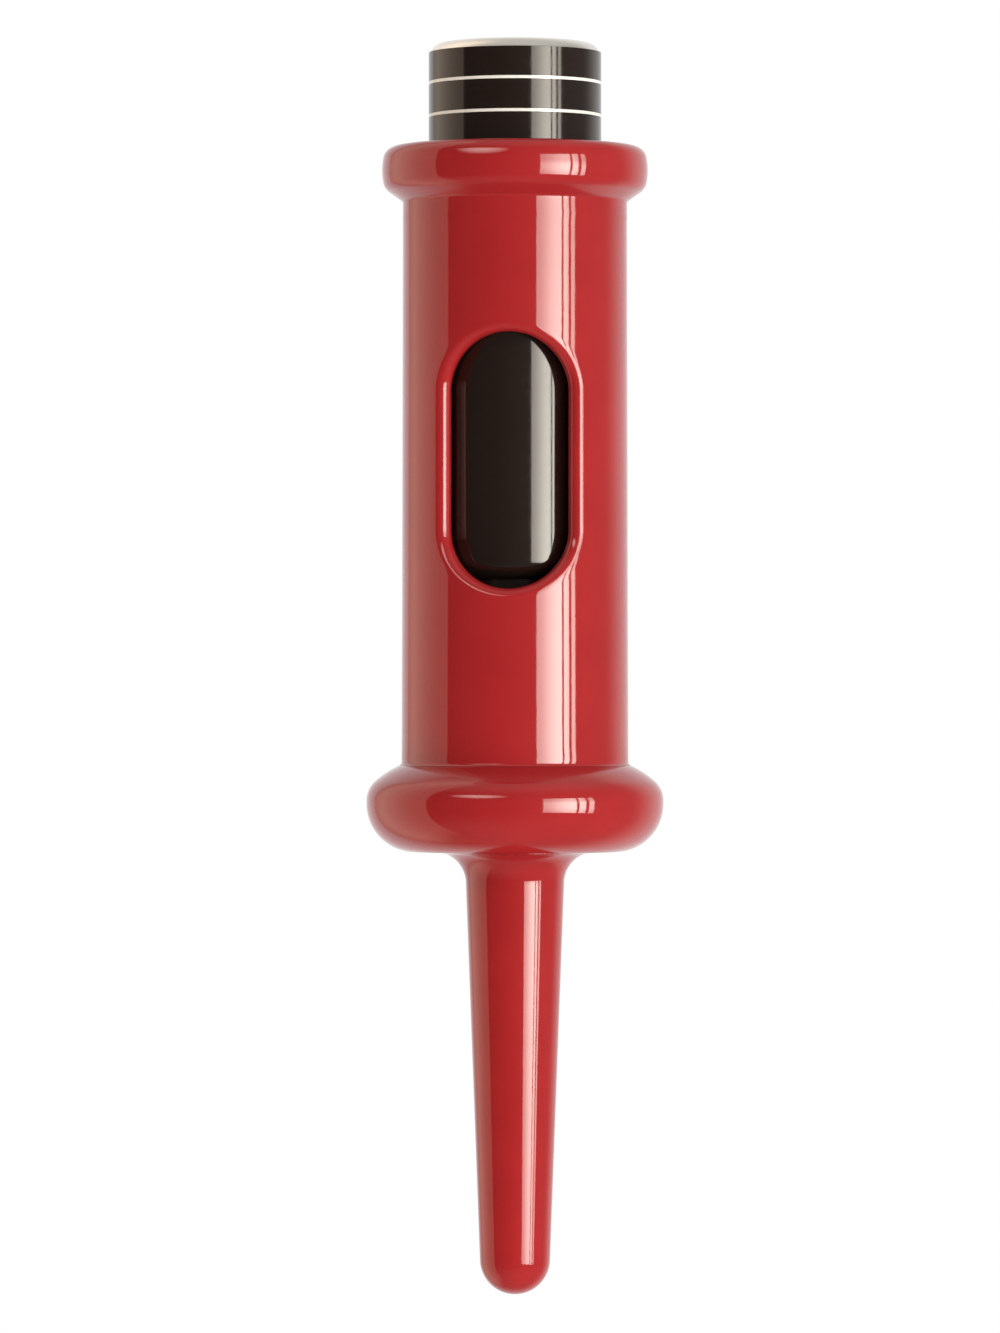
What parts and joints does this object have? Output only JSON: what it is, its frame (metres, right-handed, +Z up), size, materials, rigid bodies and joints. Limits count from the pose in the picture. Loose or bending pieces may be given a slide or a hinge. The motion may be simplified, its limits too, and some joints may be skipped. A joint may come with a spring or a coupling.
{
  "type": "gas cartridge wine opener",
  "caption": "Tubular gloss handle with a collar, fat base ring and oval window; an inverted gas can inside is pressed to send gas through a hollow needle under a tapered guard.",
  "frame": {"origin": "on the axis of the handle, at the underside of the base ring", "axes": "+Z up the handle towards the can's base, -Y out of the oval window, +X to the right when facing the window"},
  "size_m": [0.0602, 0.0602, 0.253],
  "materials": {
    "red_gloss": "smooth gloss moulding, deep red",
    "black_plastic": "satin black moulding",
    "steel": "ground stainless steel",
    "tinplate": "pressed tinplate",
    "brass": "turned brass",
    "rubber": "black moulded rubber",
    "aluminium": "drawn bare aluminium",
    "black_film": "gloss black printed film",
    "white_plastic": "natural white moulding"
  },
  "bodies": {
    "handle": {"handle_body": "red_gloss", "base_ring": "red_gloss", "cutter_carrier": "black_plastic", "cutter_axles": "steel", "carrier_screws": "steel", "needle_hub": "brass", "hub_seal": "rubber", "needle": "steel"},
    "guard": {"needle_guard": "red_gloss"},
    "stem": {"valve_stem": "white_plastic"},
    "cartridge": {"can_shell": "aluminium", "can_label": "black_film", "valve_cup": "tinplate", "cup_gasket": "rubber", "stem_gasket": "rubber", "valve_housing": "white_plastic", "valve_spring": "steel", "dip_tube": "white_plastic"},
    "wheel_1": {"cutter_wheel_1": "steel"},
    "wheel_2": {"cutter_wheel_2": "steel"},
    "wheel_3": {"cutter_wheel_3": "steel"},
    "wheel_4": {"cutter_wheel_4": "steel"}
  },
  "joints": [
    {"name": "cartridge_lift", "type": "slide", "parent": "handle", "child": "stem", "axis": [0, 0, 1], "range_m": [0, 0.12]},
    {"name": "cartridge_press", "type": "slide", "parent": "stem", "child": "cartridge", "axis": [0, 0, 1], "range_m": [-0.002, 0], "stiffness_N_per_m": 3000, "springref_m": 0.003, "deforming": ["valve_spring"]},
    {"name": "guard_pull", "type": "slide", "parent": "handle", "child": "guard", "axis": [0, 0, -1], "range_m": [0, 0.09]},
    {"name": "wheel_spin_1", "type": "hinge", "parent": "handle", "child": "wheel_1", "pos_m": [0.01252, 0.01252, 0.008], "axis": [0, 0, 1], "continuous": true},
    {"name": "wheel_spin_2", "type": "hinge", "parent": "handle", "child": "wheel_2", "pos_m": [-0.01252, 0.01252, 0.008], "axis": [0, 0, 1], "continuous": true},
    {"name": "wheel_spin_3", "type": "hinge", "parent": "handle", "child": "wheel_3", "pos_m": [-0.01252, -0.01252, 0.008], "axis": [0, 0, 1], "continuous": true},
    {"name": "wheel_spin_4", "type": "hinge", "parent": "handle", "child": "wheel_4", "pos_m": [0.01252, -0.01252, 0.008], "axis": [0, 0, 1], "continuous": true}
  ]
}
